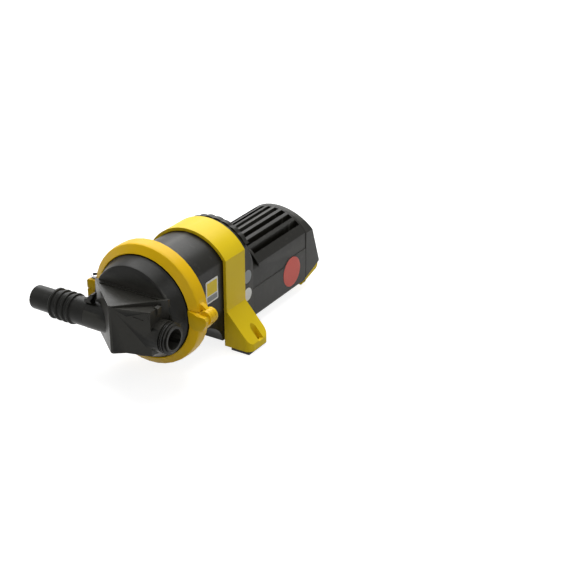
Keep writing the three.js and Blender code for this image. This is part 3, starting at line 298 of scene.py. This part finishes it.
def side_plate(name, outline, face_x, thick, material):
    """A thin plate on the right side, its outline in millimetres of (y, z), with a rounded rim."""
    count = len(outline)
    lift = min(PLATE_LIFT, thick / 3)
    middle = [sum(p[i] for p in outline) / count for i in (0, 1)]
    shrunk = [[m + (p - m) * PLATE_TOP for p, m in zip(point, middle)] for point in outline]
    levels = (face_x - PLATE_SUNK, face_x + thick - lift, face_x + thick)
    rings = list(zip((outline, outline, shrunk), levels))
    points = [at(x, y, z) for ring, x in rings for y, z in ring]
    faces = [list(range(count))[::-1], list(range(2 * count, 3 * count))]
    for level in (0, 1):
        for i in range(count):
            j = (i + 1) % count
            a, b = level * count, (level + 1) * count
            faces.append([a + i, a + j, b + j, b + i])
    add_piece(name, points, faces, material)


def disc(y, z, radius, count=48):
    """Points round a circle."""
    turns = [2 * math.pi * i / count for i in range(count)]
    return [(y + radius * math.cos(t), z + radius * math.sin(t)) for t in turns]


def rounded(y, z, half_y, half_z, radius=1.2, count=6):
    """Points round a rectangle with rounded corners."""
    corners = []
    for k, (sy, sz) in enumerate([(1, 1), (-1, 1), (-1, -1), (1, -1)]):
        for i in range(count + 1):
            turn = math.pi / 2 * (k + i / count)
            corner_y = y + sy * (half_y - radius) + radius * math.cos(turn)
            corners.append((corner_y, z + sz * (half_z - radius) + radius * math.sin(turn)))
    return corners


WHITE_CARD = plate_material("card_white", (0.88, 0.88, 0.85))
YELLOW_CARD = plate_material("card_yellow", (0.86, 0.66, 0.05))
GREY_CARD = plate_material("card_grey", (0.3, 0.32, 0.33))
RED_CARD = plate_material("card_red", (0.74, 0.13, 0.1))
BODY_SIDE = (case_high.x - ORIGIN.x) / MM
COVER_SIDE = (cover_high.x - ORIGIN.x) / MM
LABEL_Y, LABEL_Z, LABEL_HALF_Y, LABEL_HALF_Z = 47.1, 61.4, 8.6, 10.2
INSET_HALF_Y, INSET_RADIUS = LABEL_HALF_Y - 1.5, 0.4
label = rounded(LABEL_Y, LABEL_Z, LABEL_HALF_Y, LABEL_HALF_Z)
field = rounded(LABEL_Y, LABEL_Z + 2.7, INSET_HALF_Y, LABEL_HALF_Z - 4.4, INSET_RADIUS)
band = rounded(LABEL_Y, LABEL_Z - 6.4, INSET_HALF_Y, 2.3, INSET_RADIUS)
oval, disc_upper, disc_lower = disc(172.5, 27.2, 14), disc(99.2, 52.4, 6), disc(99.6, 35.4, 6)
LABEL_TOP = BODY_SIDE + 0.22
side_plate("side_card", label, BODY_SIDE, 0.25, WHITE_CARD)
side_plate("side_card_field", field, LABEL_TOP, 0.1, YELLOW_CARD)
side_plate("side_card_band", band, LABEL_TOP, 0.1, GREY_CARD)
side_plate("cover_oval", oval, COVER_SIDE, 0.2, RED_CARD)
side_plate("case_disc_upper", disc_upper, BODY_SIDE, 0.4, GREY_CARD)
side_plate("case_disc_lower", disc_lower, BODY_SIDE, 0.2, WHITE_CARD)

# ---- the raised rim across the front of the fin opening ----
RIM_AXIS_Z, RIM_INNER, RIM_OUTER = 34.7, 39.7, 40.8
RIM_FRONT, RIM_BACK = 117.2, 119.0
RIM_START, RIM_END, RIM_STEPS = 34, 146, 56  # degrees round the axis, and steps between them
RIM_EDGE = 0.3


def fin_rim():
    """A bead along an arc over the motor cover, from one flat side to the other."""
    section = [
        (RIM_INNER, RIM_FRONT),
        (RIM_OUTER, RIM_FRONT),
        (RIM_OUTER, RIM_BACK),
        (RIM_INNER, RIM_BACK),
    ]
    points, faces = [], []
    for i in range(RIM_STEPS + 1):
        turn = math.radians(RIM_START + (RIM_END - RIM_START) * i / RIM_STEPS)
        for radius, y in section:
            points.append(at(radius * math.cos(turn), y, RIM_AXIS_Z + radius * math.sin(turn)))
    for i in range(RIM_STEPS):
        for k in range(4):
            a, b = 4 * i + k, 4 * i + (k + 1) % 4
            faces.append([a, a + 4, b + 4, b])
    faces += [[0, 1, 2, 3], [4 * RIM_STEPS + k for k in (3, 2, 1, 0)]]
    soften(add_piece("fin_rim", points, faces, CASE), RIM_EDGE)


fin_rim()

# ---- floor, background and light ----
floor_mesh = bpy.data.meshes.new("floor")
FLOOR_HALF = 3.0  # metres
floor_corners = [(x * FLOOR_HALF, y * FLOOR_HALF, 0) for x, y in ((-1, -1), (1, -1), (1, 1), (-1, 1))]
floor_mesh.from_pydata(floor_corners, [], [(0, 1, 2, 3)])
floor = bpy.data.objects.new("floor", floor_mesh)
bpy.context.scene.collection.objects.link(floor)

FLOOR_TONE = 0.42
# What the camera sees on top of the lit floor, so that it reads as white but keeps a shadow.
FLOOR_FILL = 0.84


def backdrop_rays(tree):
    """1 for the rays that should meet a white background, and 0 for the rays that only carry light."""
    rays = tree.nodes.new("ShaderNodeLightPath")
    total = rays.outputs["Is Camera Ray"]
    for name in ("Is Glossy Ray", "Is Transmission Ray"):
        either = tree.nodes.new("ShaderNodeMath")
        either.operation = "MAXIMUM"
        tree.links.new(total, either.inputs[0])
        tree.links.new(rays.outputs[name], either.inputs[1])
        total = either.outputs[0]
    return total


def floor_material():
    """A pale matt floor that keeps the object's shadow and looks white where it is lit."""
    s = Shader("floor_white")
    seen = s.node("ShaderNodeMath", {0: backdrop_rays(s.tree), 1: FLOOR_FILL}, operation="MULTIPLY")
    tone = (FLOOR_TONE, FLOOR_TONE, FLOOR_TONE, 1)
    s.set(Base_Color=tone, Roughness=0.9, Specular_IOR_Level=0.1)
    s.set(Emission_Color=(1, 1, 1, 1), Emission_Strength=seen.outputs[0])
    return s.material


floor_mesh.materials.append(floor_material())

WORLD_LOW, WORLD_HIGH = 0.05, 0.3  # strength of the sky at the horizon and overhead
world = bpy.data.worlds.new("studio")
bpy.context.scene.world = world
world.use_nodes = True
tree = world.node_tree
sky = tree.nodes["Background"]
sky.inputs["Color"].default_value = (1, 1, 1, 1)
ray = tree.nodes.new("ShaderNodeTexCoord")
split = tree.nodes.new("ShaderNodeSeparateXYZ")
tree.links.new(ray.outputs["Generated"], split.inputs[0])
gradient = tree.nodes.new("ShaderNodeMapRange")
limits = {"From Min": 0, "From Max": 0.9, "To Min": WORLD_LOW, "To Max": WORLD_HIGH}
for key, value in limits.items():
    gradient.inputs[key].default_value = value
tree.links.new(split.outputs["Z"], gradient.inputs["Value"])
seen = tree.nodes.new("ShaderNodeMix")
tree.links.new(backdrop_rays(tree), seen.inputs[0])
tree.links.new(gradient.outputs[0], seen.inputs[2])
seen.inputs[3].default_value = 1.0
tree.links.new(seen.outputs[0], sky.inputs["Strength"])


def softbox(name, offset, size, power):
    """A rectangular lamp at an offset in metres from the pump's middle, facing it."""
    lamp = bpy.data.lights.new(name, "AREA")
    lamp.shape = "RECTANGLE"
    lamp.size, lamp.size_y = size
    lamp.energy = power
    made = bpy.data.objects.new(name, lamp)
    bpy.context.scene.collection.objects.link(made)
    made.location = at(0, 90, 50) + Vector(offset)
    made.rotation_mode = "QUATERNION"
    made.rotation_quaternion = (-Vector(offset)).to_track_quat("-Z", "Y")


softbox("overhead", (-0.22, 0.45, 1.0), (1.1, 1.1), 15.5)
softbox("behind", (-0.6, 1.0, 0.62), (1.1, 0.5), 4)
softbox("front", (0.35, -1.1, 0.25), (0.8, 0.6), 1.6)
softbox("left", (-1.0, -0.35, 0.35), (0.4, 0.9), 1.6)
softbox("right", (1.1, 0.1, 0.9), (0.6, 0.6), 2.4)
